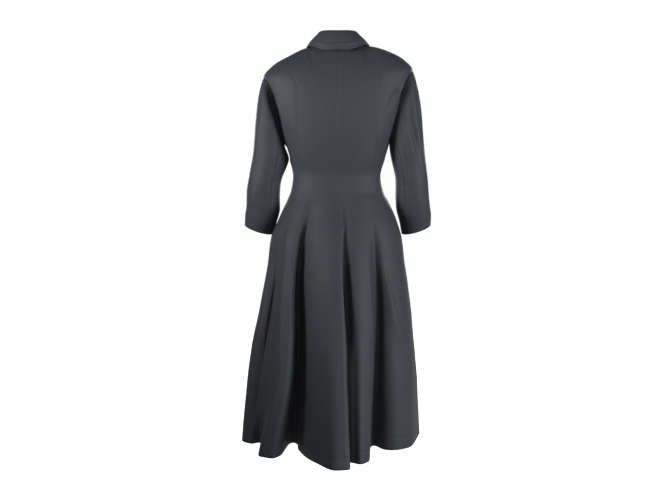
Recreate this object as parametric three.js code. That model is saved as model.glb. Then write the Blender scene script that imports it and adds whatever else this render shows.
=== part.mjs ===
// A woman's princess-line coat dress, worn shape, hollow, seen in its real size in millimetres.
// It is cut in eight long panels with no waist seam, fitted to the waist and flared into deep
// loose folds, with two-piece three-quarter sleeves and a turned-down collar on a high stand.
// +Z is up, the front faces -Y and the wearer's left arm is on +X. The origin is on the middle
// line, level with the sides of the neck, where the shoulders of the wearer hold the garment up.
import * as THREE from "three";

// Driving sizes
const clothThickness = 2;
const seamGap = 0.3; // between neighbouring pieces along a seam
const hemLevel = 1194; // level of the hem below the origin
const underarmLevel = 285;
const shoulderTipLevel = 140;
const neckLevel = 18; // level of the neck seam at the centre back
const princessTopLevel = 78; // where the princess seams meet the shoulder seam
const frontLap = 20; // the right front passes the centre front by this much
const lapEase = 18; // width over which the left front dips under the right one
const armholeHalfTurn = 16; // half the armhole's width, in degrees round the body
const degree = Math.PI / 180;

// Rings of the body, from the neck seam down. A ring crosses the centre back at -level, the side at
// sideZ and the centre front at frontZ. half, back and front are its reach from the middle line.
// square is the power of its oval, shift moves it towards the left arm, and lean lowers the left side.
const upperRings = [
  { level: 18, sideZ: 3, frontZ: -84, half: 66, back: 62, front: 68, square: 2, shift: -3, lean: 0.02 },
  { level: 43, sideZ: -1, frontZ: -104, half: 95, back: 78, front: 84, square: 2, shift: -3, lean: 0.03 },
  { level: 82, sideZ: -22, frontZ: -130, half: 151, back: 96, front: 104, square: 2.1, shift: -3, lean: 0.05 },
  { level: 112, sideZ: -46, frontZ: -150, half: 194, back: 105, front: 116, square: 2.1, shift: -3, lean: 0.05 },
  { level: 140, sideZ: -80, frontZ: -172, half: 221, back: 111, front: 127, square: 2.15, shift: -3, lean: 0.05 },
  { level: 195, sideZ: -165, frontZ: -212, half: 200, back: 115, front: 143, square: 2.2, shift: 0, lean: 0.03 },
  { level: 240, sideZ: -228, frontZ: -245, half: 178, back: 113, front: 147, square: 2.25, shift: 0, lean: 0.02 },
  { level: 285, sideZ: -285, frontZ: -285, half: 156, back: 105, front: 137, square: 2.3, shift: 0, lean: 0.01 },
];

// Below the underarm a ring is level all round.
const lowerRings = [
  { level: 330, half: 143, back: 95, front: 123, square: 2.3, shift: 0 },
  { level: 380, half: 131, back: 84, front: 106, square: 2.3, shift: 1 },
  { level: 420, half: 137, back: 89, front: 108, square: 2.25, shift: 0 },
  { level: 460, half: 155, back: 104, front: 116, square: 2.2, shift: -2 },
  { level: 510, half: 177, back: 124, front: 130, square: 2.15, shift: -1 },
  { level: 565, half: 197, back: 141, front: 144, square: 2.1, shift: 2 },
  { level: 640, half: 207, back: 156, front: 157, square: 2, shift: 2 },
  { level: 790, half: 232, back: 182, front: 180, square: 2, shift: 6 },
  { level: 900, half: 249, back: 200, front: 197, square: 2, shift: 12 },
  { level: 1020, half: 262, back: 216, front: 212, square: 2, shift: 15 },
  { level: 1194, half: 275, back: 240, front: 235, square: 2, shift: 19 },
];
const bodyRings = [
  ...upperRings,
  ...lowerRings.map((ring) => ({ ...ring, sideZ: -ring.level, frontZ: -ring.level, lean: 0 })),
];

// The folded hem, going round from the centre back by the left side. at is a place in the cloth, in
// degrees round the body, and x and y are where it hangs at the hem. A fold begins at the level
// starts, and growth is the power of its deepening from there to the hem.
const hemPlaces = [
  { at: 4, x: 17, y: 277, starts: 430, growth: 1.2 },
  { at: 12, x: 49, y: 234, starts: 430, growth: 1.2 },
  { at: 24, x: 91, y: 165, starts: 430, growth: 1.1 },
  { at: 31, x: 117, y: 88, starts: 440, growth: 1 },
  { at: 34.5, x: 121, y: 45, starts: 445, growth: 0.95 },
  { at: 37, x: 134, y: 27, starts: 450, growth: 0.95 },
  { at: 39.5, x: 147, y: 48, starts: 445, growth: 0.95 },
  { at: 42, x: 156, y: 98, starts: 435, growth: 1 },
  { at: 45, x: 165, y: 146, starts: 430, growth: 1.1 },
  { at: 48, x: 184, y: 175, starts: 420, growth: 1.2 },
  { at: 53, x: 210, y: 168, starts: 420, growth: 1.2 },
  { at: 59, x: 231, y: 148, starts: 430, growth: 1.2 },
  { at: 74, x: 235, y: 28, starts: 520, growth: 1.1 },
  { at: 80, x: 262, y: 36, starts: 560, growth: 1.2 },
  { at: 90, x: 294, y: 0, starts: 560, growth: 1.2 },
  { at: 100, x: 280, y: -70, starts: 560, growth: 1.2 },
  { at: 113, x: 234, y: -126, starts: 520, growth: 1 },
  { at: 126, x: 226, y: -194, starts: 480, growth: 1.2 },
  { at: 134, x: 192, y: -214, starts: 480, growth: 1.2 },
  { at: 143, x: 146, y: -168, starts: 500, growth: 1 },
  { at: 153, x: 108, y: -222, starts: 520, growth: 1.2 },
  { at: 163, x: 72, y: -246, starts: 560, growth: 1.2 },
  { at: 180, x: 0, y: -232, starts: 600, growth: 1.2 },
  { at: 197, x: -74, y: -245, starts: 560, growth: 1.2 },
  { at: 207, x: -112, y: -212, starts: 520, growth: 1.2 },
  { at: 217, x: -144, y: -162, starts: 500, growth: 1 },
  { at: 226, x: -188, y: -208, starts: 480, growth: 1.2 },
  { at: 235, x: -218, y: -192, starts: 480, growth: 1.2 },
  { at: 247, x: -230, y: -132, starts: 520, growth: 1 },
  { at: 262, x: -262, y: -100, starts: 560, growth: 1.2 },
  { at: 277, x: -249, y: -22, starts: 560, growth: 1.2 },
  { at: 290, x: -224, y: 62, starts: 540, growth: 1.2 },
  { at: 298, x: -192, y: 91, starts: 540, growth: 1.2 },
  { at: 304, x: -165, y: 100, starts: 540, growth: 1.2 },
  { at: 310, x: -138, y: 90, starts: 530, growth: 1.1 },
  { at: 315.5, x: -113, y: 56, starts: 510, growth: 1 },
  { at: 319, x: -101, y: 78, starts: 510, growth: 1.1 },
  { at: 323, x: -95, y: 184, starts: 500, growth: 1.2 },
  { at: 328, x: -87, y: 210, starts: 500, growth: 1.2 },
  { at: 336, x: -67, y: 229, starts: 480, growth: 1.2 },
  { at: 343, x: -46, y: 218, starts: 440, growth: 1 },
  { at: 347.5, x: -24, y: 212, starts: 425, growth: 0.8 },
  { at: 350, x: -38, y: 264, starts: 430, growth: 1.2 },
  { at: 356, x: -14, y: 281, starts: 430, growth: 1.2 },
];

// The folds don't fall straight. A place in the cloth lies off its turn by these degrees, by high at
// level 650 and by low at level 930, and driftLevels says how the two fade up, down and into each other.
const foldDrifts = [
  { at: -180, high: 0, low: 0 },
  { at: -40, high: 0, low: 0 },
  { at: -22, high: 1, low: 0 },
  { at: -11, high: 5, low: 1 },
  { at: 4, high: 3, low: 0 },
  { at: 20, high: 3, low: 0 },
  { at: 31, high: 5, low: 0 },
  { at: 37, high: 6, low: -1 },
  { at: 41, high: 3.5, low: -4 },
  { at: 45, high: 1.5, low: -6 },
  { at: 53, high: -3, low: -10 },
  { at: 62, high: -6, low: -13 },
  { at: 74, high: -4, low: -9 },
  { at: 90, high: 0, low: 0 },
  { at: 180, high: 0, low: 0 },
];
const driftLevels = [
  { level: 430, high: 0, low: 0 },
  { level: 650, high: 1, low: 0 },
  { level: 930, high: 0, low: 1 },
  { level: 1194, high: 0, low: 0 },
];

// Sections of a sleeve below the armhole, from the upper arm to the cuff. drop is the height below
// the origin, left and right are the places of the two sleeves' centres, half and depth the reach of
// the section and y its centre. slant lifts the outer edge and pitch lowers the back edge, in degrees.
const sleeveSections = [
  { drop: 330, left: 202, right: 213, half: 51, depth: 60, y: 5, slant: 3, pitch: 0 },
  { drop: 383, left: 214, right: 222, half: 48.5, depth: 57, y: 6, slant: 5, pitch: 4 },
  { drop: 434, left: 221, right: 225, half: 50, depth: 54, y: 1, slant: 8, pitch: 7 },
  { drop: 470, left: 222, right: 229, half: 51, depth: 53, y: -8, slant: 10, pitch: 9 },
  { drop: 508, left: 230, right: 237, half: 49, depth: 51, y: -22, slant: 13, pitch: 9 },
  { drop: 542, left: 237, right: 241, half: 46, depth: 48, y: -36, slant: 17, pitch: 8 },
];
const capSpring = 0.85; // how far the sleeve head follows its first direction
const sleeveSeamTurn = 120; // the under sleeve lies between this angle and its mirror

// The collar, from the centre back to its front end, in degrees round the neck. roll is the fold
// line at the top of the stand. The lower edge of the fall lies over the body at edgeTurn and
// edgeLevel, and clear is the space under it.
const collarPlaces = [
  { rollTurn: 0, rollReach: 57, rollZ: 42, edgeTurn: 0, edgeLevel: 20, clear: 13 },
  { rollTurn: 45, rollReach: 58, rollZ: 43, edgeTurn: 43, edgeLevel: 34, clear: 11 },
  { rollTurn: 90, rollReach: 60, rollZ: 34, edgeTurn: 84, edgeLevel: 38, clear: 2 },
  { rollTurn: 135, rollReach: 63, rollZ: -2, edgeTurn: 122, edgeLevel: 54, clear: 1.5 },
  { rollTurn: 176, rollReach: 70, rollZ: -46, edgeTurn: 154, edgeLevel: 88, clear: 1.5 },
];
const rollHalfWidth = 4; // half the width of the collar's rolled top edge
const rollDepth = 7; // how far the fall reaches down inside the neck
const standClear = 0.3; // room between the stand and the lap of the fronts, beyond the seam gap
const fallBow = 3; // how far the fall bows outwards between the roll and its edge

const buttonRadius = 11;
const buttonHeight = 5;
const buttonLevels = [68, 165, 262, 345, 435, 525];

const charcoal = 0x3b3e43;
const cloth = new THREE.MeshStandardMaterial({ color: charcoal, roughness: 0.7, metalness: 0 });
const buttonCloth = new THREE.MeshStandardMaterial({ color: charcoal, roughness: 0.6, metalness: 0 });

// Smooth curve through a table's rows that never overshoots them: the values of every column at x.
function smoothTable(rows, key) {
  const columns = Object.keys(rows[0]).filter((name) => name !== key && typeof rows[0][name] === "number");
  const xs = rows.map((row) => row[key]);
  const slopes = {};
  for (const name of columns) {
    const ys = rows.map((row) => row[name]);
    const steps = xs.slice(1).map((x, i) => (ys[i + 1] - ys[i]) / (x - xs[i]));
    slopes[name] = xs.map((_, i) => {
      if (i === 0) return steps[0];
      if (i === xs.length - 1) return steps[i - 1];
      const product = steps[i - 1] * steps[i];
      return product <= 0 ? 0 : (2 * product) / (steps[i - 1] + steps[i]);
    });
  }
  return (x) => {
    let i = xs.findIndex((edge) => edge > x) - 1;
    if (i < 0) i = x < xs[0] ? 0 : xs.length - 2;
    const width = xs[i + 1] - xs[i];
    const t = THREE.MathUtils.clamp((x - xs[i]) / width, 0, 1);
    const found = {};
    for (const name of columns) {
      const leave = slopes[name][i] * width;
      const arrive = slopes[name][i + 1] * width;
      found[name] = hermite(rows[i][name], rows[i + 1][name], leave, arrive, t);
    }
    return found;
  };
}

// Cubic from a to b with the slopes ta and tb at its ends.
function hermite(a, b, ta, tb, t) {
  const t2 = t * t;
  const t3 = t2 * t;
  return a * (2 * t3 - 3 * t2 + 1) + ta * (t3 - 2 * t2 + t) + b * (3 * t2 - 2 * t3) + tb * (t3 - t2);
}

const ringAt = smoothTable(bodyRings, "level");

// Reach of an oval ring in one direction.
function ovalReach(ring, turn) {
  const across = Math.abs(Math.sin(turn * degree)) / ring.half;
  const along = Math.abs(Math.cos(turn * degree)) / (Math.cos(turn * degree) > 0 ? ring.back : ring.front);
  return (across ** ring.square + along ** ring.square) ** (-1 / ring.square);
}

// The hem's outline as a smooth closed curve through its places.
function hemOutline() {
  const count = hemPlaces.length;
  const wrapped = (i) => {
    const place = hemPlaces[(i + count) % count];
    return { ...place, at: place.at + 360 * Math.floor(i / count) };
  };
  const slopeAt = (i, name) => {
    const before = wrapped(i - 1);
    const after = wrapped(i + 1);
    return (after[name] - before[name]) / (after.at - before.at);
  };
  return (turn) => {
    const at = ((turn % 360) + 360) % 360;
    let i = -1;
    while (i < count - 1 && wrapped(i + 1).at <= at) i += 1;
    const from = wrapped(i);
    const to = wrapped(i + 1);
    const width = to.at - from.at;
    const t = (at - from.at) / width;
    return {
      x: hermite(from.x, to.x, slopeAt(i, "x") * width, slopeAt(i + 1, "x") * width, t),
      y: hermite(from.y, to.y, slopeAt(i, "y") * width, slopeAt(i + 1, "y") * width, t),
      starts: THREE.MathUtils.lerp(from.starts, to.starts, t),
      growth: THREE.MathUtils.lerp(from.growth, to.growth, t),
    };
  };
}
const hemAt = hemOutline();
const hemRing = ringAt(hemLevel);
const driftAt = smoothTable(foldDrifts, "at");
const driftShare = smoothTable(driftLevels, "level");

// Turn at which a place in the cloth lies at one level.
function driftedTurn(turn, level) {
  const drift = driftAt(turn - 360 * Math.round(turn / 360));
  const share = driftShare(level);
  return turn + drift.high * share.high + drift.low * share.low;
}

// Outer surface of the body: turn is the place round it in degrees, 0 at centre back and 90 at the
// left side, and level is the ring.
function bodyPoint(turn, level) {
  const ring = ringAt(level);
  const angle = driftedTurn(turn, level);
  const reach = ovalReach(ring, angle);
  const side = Math.sin(angle * degree) ** 2;
  const z = side * ring.sideZ + (1 - side) * (Math.cos(angle * degree) > 0 ? -level : ring.frontZ);
  const point = new THREE.Vector3(
    reach * Math.sin(angle * degree) + ring.shift,
    reach * Math.cos(angle * degree),
    z - ring.lean * reach * Math.sin(angle * degree),
  );
  const hem = hemAt(turn);
  const grown = Math.max(0, (level - hem.starts) / (hemLevel - hem.starts)) ** hem.growth;
  if (grown > 0) {
    const plain = ovalReach(hemRing, turn);
    point.x += grown * (hem.x - plain * Math.sin(turn * degree) - hemRing.shift);
    point.y += grown * (hem.y - plain * Math.cos(turn * degree));
  }
  return point;
}

function bodyNormal(turn, level) {
  const around = bodyPoint(turn + 0.2, level).sub(bodyPoint(turn - 0.2, level));
  const low = Math.min(level + 0.5, hemLevel);
  const high = Math.max(level - 0.5, neckLevel);
  const down = bodyPoint(turn, low).sub(bodyPoint(turn, high));
  return around.cross(down).normalize();
}

// The left armhole on the body's surface: 0 degrees at the shoulder tip, 90 at the back, 180 at the
// underarm. side is 1 for the left and -1 for the right.
function armholePlace(round, side) {
  const middle = (shoulderTipLevel + underarmLevel) / 2;
  const halfDrop = (underarmLevel - shoulderTipLevel) / 2;
  return {
    turn: side * (90 - armholeHalfTurn * Math.sin(round * degree)),
    level: middle - halfDrop * Math.cos(round * degree),
  };
}

function armholePoint(round, side) {
  const place = armholePlace(round, side);
  return bodyPoint(place.turn, place.level);
}

const sectionAt = smoothTable(sleeveSections, "drop");

// One point of a sleeve's section below the origin.
function sectionPoint(round, drop, side) {
  const section = sectionAt(drop);
  const centreX = side > 0 ? section.left : section.right;
  const out = section.half * Math.cos(round * degree);
  const back = section.depth * Math.sin(round * degree);
  return new THREE.Vector3(
    side * (centreX + out * Math.cos(section.slant * degree)),
    section.y + back * Math.cos(section.pitch * degree),
    -drop + out * Math.sin(section.slant * degree) - back * Math.sin(section.pitch * degree),
  );
}

// Outer surface of a sleeve: along runs from 0 at the armhole by 1 at the first section to 2 at the cuff.
function sleevePoint(round, along, side) {
  const first = sleeveSections[0].drop;
  const cuff = sleeveSections[sleeveSections.length - 1].drop;
  if (along > 1) return sectionPoint(round, mix(first, cuff, along - 1), side);
  const from = armholePoint(round, side);
  const to = sectionPoint(round, first, side);
  const length = to.distanceTo(from);
  const outwards = 0.5 + 0.5 * Math.cos(round * degree);
  const leave = new THREE.Vector3(side * 0.4 * outwards, 0.25 * Math.sin(round * degree), -0.9);
  leave.setLength(length * capSpring);
  const arrive = sectionPoint(round, first + 5, side).sub(to).setLength(length * capSpring);
  const point = new THREE.Vector3();
  for (const axis of ["x", "y", "z"]) {
    point[axis] = hermite(from[axis], to[axis], leave[axis], arrive[axis], along);
  }
  return point;
}

function sleeveNormal(round, along, side) {
  const around = sleevePoint(round + 1, along, side).sub(sleevePoint(round - 1, along, side));
  const above = sleevePoint(round, Math.max(along - 0.02, 0), side);
  const down = sleevePoint(round, Math.min(along + 0.02, 2), side).sub(above);
  return around.cross(down).normalize().multiplyScalar(-side);
}

// The join of body and sleeve at the armhole: the way across the seam from body to sleeve, and the
// way out of the cloth for each. Where the cloth turns outwards both share it, like a mitre.
function armholeJoin(round, side) {
  const place = armholePlace(round, side);
  const seam = armholePoint(round, side);
  const middle = (shoulderTipLevel + underarmLevel) / 2;
  const outside = {
    turn: place.turn + 0.12 * (place.turn - side * 90),
    level: place.level + 0.12 * (place.level - middle),
  };
  const intoBody = bodyPoint(outside.turn, outside.level).sub(seam).normalize();
  const intoSleeve = sleevePoint(round, 0.05, side).sub(seam).normalize();
  const across = intoSleeve.sub(intoBody).normalize();
  const bodyOut = bodyNormal(place.turn, place.level);
  const sleeveOut = sleeveNormal(round, 0, side);
  const turning = sleeveOut.clone().sub(bodyOut).dot(across);
  const mitre = THREE.MathUtils.smoothstep(turning, -0.15, 0.05);
  const shared = bodyOut.clone().add(sleeveOut).normalize();
  return {
    seam,
    across,
    bodyOut: bodyOut.lerp(shared, mitre).normalize(),
    sleeveOut: sleeveOut.lerp(shared, mitre).normalize(),
  };
}

// A cloth wall from a grid of outer points and the way out of the cloth at each of them. Edges that
// are named in open keep their place, and the others draw back by half the seam gap. A cell's keeps
// names the edge that already has its place.
function clothWall(grid, open = {}) {
  const rows = grid.length;
  const columns = grid[0].length;
  const outer = grid.map((row) => row.map((cell) => cell.point.clone()));
  const { clamp } = THREE.MathUtils;
  const cellAt = (row, column) => grid[clamp(row, 0, rows - 1)][clamp(column, 0, columns - 1)].point;
  const drawBack = (row, column, rowStep, columnStep) => {
    if (grid[row][column].keeps === (rowStep ? "end" : "side")) return;
    const before = cellAt(row - columnStep, column - rowStep);
    const along = cellAt(row + columnStep, column + rowStep).clone().sub(before).normalize();
    const inwards = cellAt(row + rowStep, column + columnStep).clone().sub(cellAt(row, column));
    inwards.addScaledVector(along, -inwards.dot(along));
    if (inwards.length() > 1e-6) outer[row][column].addScaledVector(inwards.normalize(), seamGap / 2);
  };
  for (let row = 0; row < rows; row += 1) {
    if (!open.first) drawBack(row, 0, 0, 1);
    if (!open.last) drawBack(row, columns - 1, 0, -1);
  }
  for (let column = 0; column < columns; column += 1) {
    if (!open.top) drawBack(0, column, 1, 0);
    if (!open.bottom) drawBack(rows - 1, column, -1, 0);
  }
  const inner = outer.map((row, r) =>
    row.map((point, c) => point.clone().addScaledVector(grid[r][c].out, -clothThickness)),
  );
  const positions = [...outer.flat(), ...inner.flat()].flatMap((point) => [point.x, point.y, point.z]);
  const face = rows * columns;
  const at = (r, c, side) => r * columns + c + side * face;
  const index = [];
  const quad = (a, b, c, d) => index.push(a, b, c, a, c, d);
  for (let r = 0; r < rows - 1; r += 1) {
    for (let c = 0; c < columns - 1; c += 1) {
      const falling = outer[r][c].distanceTo(outer[r + 1][c + 1]);
      const rising = outer[r + 1][c].distanceTo(outer[r][c + 1]);
      if (falling < rising) {
        quad(at(r, c, 0), at(r + 1, c, 0), at(r + 1, c + 1, 0), at(r, c + 1, 0));
        quad(at(r, c, 1), at(r, c + 1, 1), at(r + 1, c + 1, 1), at(r + 1, c, 1));
      } else {
        quad(at(r + 1, c, 0), at(r + 1, c + 1, 0), at(r, c + 1, 0), at(r, c, 0));
        quad(at(r, c + 1, 1), at(r + 1, c + 1, 1), at(r + 1, c, 1), at(r, c, 1));
      }
    }
    quad(at(r, 0, 0), at(r, 0, 1), at(r + 1, 0, 1), at(r + 1, 0, 0));
    quad(at(r, columns - 1, 0), at(r + 1, columns - 1, 0), at(r + 1, columns - 1, 1), at(r, columns - 1, 1));
  }
  for (let c = 0; c < columns - 1; c += 1) {
    quad(at(0, c, 0), at(0, c + 1, 0), at(0, c + 1, 1), at(0, c, 1));
    quad(at(rows - 1, c, 0), at(rows - 1, c, 1), at(rows - 1, c + 1, 1), at(rows - 1, c + 1, 0));
  }
  const geometry = new THREE.BufferGeometry();
  geometry.setAttribute("position", new THREE.Float32BufferAttribute(positions, 3));
  geometry.setIndex(index);
  geometry.computeVertexNormals();
  return geometry;
}

const range = (count) => Array.from({ length: count + 1 }, (_, i) => i / count);
const mix = (a, b, t) => a + (b - a) * t;

// Levels of the rows: at the neck, from the top of the princess seams to the underarm, and below.
const neckLevels = [neckLevel, 37, 57, princessTopLevel];
const upperLevels = [princessTopLevel, 88, 100, 114, 132, 155, 183, 215, 250, underarmLevel];
const waistLevels = [underarmLevel, 315, 342, 364, 384, 404, 426, 452];
const lowerLevels = [...waistLevels, 480, 514, 556, 612, 690, 800, 930, 1064, hemLevel];
const columnStep = 5.5; // widest step between columns round the body, in degrees
const lapColumns = [-20, -10, 0, 10, 20, 38]; // distances from the centre front

// How far round the body the princess seams lie from the centre back and from the centre front.
const princessPlaces = [
  { level: 78, back: 90, front: 90 },
  { level: 88, back: 78, front: 78 },
  { level: 114, back: 60, front: 62 },
  { level: 155, back: 50, front: 50 },
  { level: 220, back: 51, front: 43 },
  { level: 300, back: 56, front: 47 },
  { level: 380, back: 60, front: 52 },
  { level: 430, back: 53, front: 50 },
  { level: 573, back: 38, front: 46 },
  { level: 1194, back: 37, front: 46 },
];
const princessAt = smoothTable(princessPlaces, "level");

// Places of a centre panel's two long edges, from the top row to the hem. The inner edge is the
// centre line and the outer one the shoulder seam and then the princess seam.
function centreEdges(face) {
  const levels = [...neckLevels, ...upperLevels.slice(1), ...lowerLevels.slice(1)];
  const outer = levels.map((level) => ({ turn: level < princessTopLevel ? 90 : princessAt(level)[face], level }));
  return { inner: levels.map((level) => ({ turn: 0, level })), outer };
}

// Places of a side panel's two long edges: the princess seam, then the armhole and the side seam.
function sideEdges(face) {
  const levels = [...upperLevels, ...lowerLevels.slice(1)];
  const rounds = range(upperLevels.length - 1).map((t) => 180 * t);
  const armhole = rounds.map((round) => ({ ...armholePlace(round, 1), round }));
  return {
    inner: levels.map((level) => ({ turn: princessAt(level)[face], level })),
    outer: [...armhole, ...lowerLevels.slice(1).map((level) => ({ turn: 90, level }))],
  };
}

// Turns a place on the left back into the same place on another quarter of the body.
function quarter(place, side, isFront) {
  const turn = isFront ? 180 - place.turn : place.turn;
  return { ...place, turn: side * turn };
}

// Columns between two places of the hem: one on each of the hem's own places between them, and others
// so that none is far from the next. Each is a share of the way from one place to the other.
function columnShares(from, to) {
  const low = Math.min(from, to);
  const high = Math.max(from, to);
  const folds = hemPlaces
    .flatMap((place) => [place.at, place.at - 360])
    .filter((at) => at > low + 1.5 && at < high - 1.5)
    .sort((a, b) => a - b);
  const stops = [low, ...folds, high];
  const places = [low];
  for (let i = 1; i < stops.length; i += 1) {
    const count = Math.ceil((stops[i] - stops[i - 1]) / columnStep);
    places.push(...range(count).slice(1).map((t) => mix(stops[i - 1], stops[i], t)));
  }
  const shares = places.map((place) => (place - from) / (to - from));
  return shares.sort((a, b) => a - b);
}

// A panel's cells between two edges, ordered so that the cloth's outside faces out.
function panelGrid(edges, side, isFront) {
  const flip = (side > 0) === isFront;
  const hemRow = edges.inner.length - 1;
  const hemFrom = quarter(edges.inner[hemRow], side, isFront).turn;
  const hemTo = quarter(edges.outer[hemRow], side, isFront).turn;
  const shares = columnShares(hemFrom, hemTo);
  return edges.inner.map((inner, row) => {
    const from = quarter(inner, side, isFront);
    const to = quarter(edges.outer[row], side, isFront);
    const cells = (inner.steps ?? shares).map((t) => {
      const turn = mix(from.turn, to.turn, t);
      const level = mix(from.level, to.level, t);
      return { point: bodyPoint(turn, level), out: bodyNormal(turn, level), turn, level };
    });
    if (to.round !== undefined) {
      const join = armholeJoin(isFront ? -to.round : to.round, side);
      cells[cells.length - 1] = {
        point: join.seam.clone().addScaledVector(join.across, -seamGap / 2),
        out: join.bodyOut,
        keeps: to.round < 180 ? "side" : undefined,
      };
    }
    return flip ? cells : cells.reverse();
  });
}

// A front's centre edge moves past the centre front by the lap, and the left front dips under. Both
// fronts have columns at the same places in the lap, so that one lies evenly on the other.
function lapFront(edges, side) {
  const lapTurn = (level) => frontLap / bodyPoint(180.5, level).distanceTo(bodyPoint(179.5, level));
  const lapEnd = lapColumns[lapColumns.length - 1];
  const hemLap = (lapTurn(hemLevel) * lapEnd) / frontLap;
  const beside = columnShares(side * (180 - hemLap), side * (180 - princessAt(hemLevel).front));
  const inner = edges.inner.map((place, row) => {
    const lap = lapTurn(place.level);
    const width = edges.outer[row].turn + lap;
    const near = lapColumns.map((distance) => ((distance + frontLap) * lap) / frontLap / width);
    const last = near[near.length - 1];
    const far = beside.slice(1).map((t) => mix(last, 1, t));
    return { ...place, turn: -lap, steps: [...near, ...far] };
  });
  const grid = panelGrid({ inner, outer: edges.outer }, side, true);
  if (side < 0) return grid;
  const under = clothThickness + seamGap + 0.4;
  grid.forEach((row) =>
    row.forEach((cell) => {
      const lap = lapTurn(cell.level) / frontLap;
      const past = (cell.turn - 180) / lap + frontLap + lapEase;
      const share = THREE.MathUtils.smoothstep(past, 0, lapEase);
      cell.point.addScaledVector(cell.out, -under * share);
    }),
  );
  return grid;
}

function piece(name, geometry, material = cloth) {
  const mesh = new THREE.Mesh(geometry, material);
  mesh.name = name;
  return mesh;
}

function bodyPanels() {
  const panels = new THREE.Group();
  for (const [word, side] of [["left", 1], ["right", -1]]) {
    const grids = {
      back_centre: panelGrid(centreEdges("back"), side, false),
      back_side: panelGrid(sideEdges("back"), side, false),
      front_side: panelGrid(sideEdges("front"), side, true),
      front_centre: lapFront(centreEdges("front"), side),
    };
    for (const [name, grid] of Object.entries(grids)) {
      panels.add(piece(`${name}_${word}`, clothWall(grid, { bottom: true })));
    }
  }
  return panels;
}

// Sleeve halves share the armhole's steps, so that the seam's edges run side by side.
const sleeveStep = 180 / (upperLevels.length - 1);
const capRows = 6;
const armRows = 7;

function sleeveGrid(fromRound, toRound, side) {
  const count = Math.round((toRound - fromRound) / sleeveStep);
  const alongs = [...range(capRows), ...range(armRows).slice(1).map((t) => 1 + t)];
  return alongs.map((along) => {
    const cells = range(count).map((t) => {
      const round = mix(fromRound, toRound, t);
      if (along > 0) {
        return { point: sleevePoint(round, along, side), out: sleeveNormal(round, along, side) };
      }
      const join = armholeJoin(round, side);
      return {
        point: join.seam.clone().addScaledVector(join.across, seamGap / 2),
        out: join.sleeveOut,
        keeps: "end",
      };
    });
    return side > 0 ? cells : cells.reverse();
  });
}

function sleeves() {
  const both = new THREE.Group();
  for (const [word, side] of [["left", 1], ["right", -1]]) {
    const upper = sleeveGrid(-sleeveSeamTurn, sleeveSeamTurn, side);
    const under = sleeveGrid(sleeveSeamTurn, 360 - sleeveSeamTurn, side);
    both.add(piece(`sleeve_upper_${word}`, clothWall(upper, { bottom: true })));
    both.add(piece(`sleeve_under_${word}`, clothWall(under, { bottom: true })));
  }
  return both;
}

const collarAt = smoothTable(collarPlaces, "rollTurn");
const collarEnd = collarPlaces[collarPlaces.length - 1].rollTurn;

function polar(turn, reach, z) {
  const across = reach * Math.sin(turn * degree) + ringAt(neckLevel).shift;
  return new THREE.Vector3(across, reach * Math.cos(turn * degree), z);
}

// The collar at one place: the outsides of the stand and of the fall. The stand's first point and
// the fall's first point are the two faces of the cloth where they are joined inside the roll.
function collarAcross(turn) {
  const side = Math.sign(turn) || 1;
  const place = collarAt(Math.abs(turn));
  const join = place.rollReach - rollHalfWidth;
  const joinZ = place.rollZ - rollDepth;
  const standTop = polar(turn, join + clothThickness / 2, joinZ);
  const shoulder = polar(turn, place.rollReach + rollHalfWidth, place.rollZ - rollHalfWidth);
  const edge = bodyPoint(side * place.edgeTurn, place.edgeLevel);
  edge.addScaledVector(bodyNormal(side * place.edgeTurn, place.edgeLevel), clothThickness + place.clear);
  const bow = new THREE.Vector3(Math.sin(turn * degree), Math.cos(turn * degree), 0.4).multiplyScalar(fallBow);
  const fall = [
    polar(turn, join - clothThickness / 2, joinZ),
    polar(turn, join, place.rollZ - rollHalfWidth / 2),
    polar(turn, place.rollReach, place.rollZ),
    shoulder,
  ];
  for (const t of [1 / 3, 2 / 3, 1]) {
    fall.push(shoulder.clone().lerp(edge, t).addScaledVector(bow, Math.sin(Math.PI * t)));
  }
  const seam = bodyPoint(turn, neckLevel);
  seam.z += standClear;
  return { stand: range(3).map((t) => standTop.clone().lerp(seam, t)), fall };
}

// Places of the collar's columns: those of the panels at the neck, so that the edges run together.
function collarTurns() {
  const turns = [-collarEnd, collarEnd];
  for (const side of [1, -1]) {
    for (const grid of [panelGrid(centreEdges("back"), side, false), lapFront(centreEdges("front"), side)]) {
      turns.push(...grid[0].map((cell) => cell.turn).filter((turn) => Math.abs(turn) < collarEnd - 3));
    }
  }
  return turns.sort((a, b) => a - b).filter((turn, i, all) => i === 0 || turn - all[i - 1] > 0.5);
}

function collarGrid(part) {
  const turns = collarTurns();
  const lines = turns.map((turn) => collarAcross(turn)[part]);
  return lines[0].map((_, row) => {
    const cells = lines.map((line, column) => {
      const before = lines[Math.max(column - 1, 0)][row];
      const around = lines[Math.min(column + 1, lines.length - 1)][row].clone().sub(before);
      const down = line[Math.min(row + 1, line.length - 1)].clone().sub(line[Math.max(row - 1, 0)]);
      const outwards = polar(turns[column], 1, 0).sub(polar(0, 0, 0));
      if (row === 0) return { point: line[0], out: outwards.multiplyScalar(part === "stand" ? 1 : -1) };
      return { point: line[row], out: around.cross(down).normalize() };
    });
    return cells.reverse();
  });
}

function collar() {
  const both = new THREE.Group();
  const freeEnds = { first: true, last: true };
  both.add(piece("collar_stand", clothWall(collarGrid("stand"), freeEnds)));
  both.add(piece("collar_fall", clothWall(collarGrid("fall"), { ...freeEnds, bottom: true })));
  return both;
}

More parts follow.
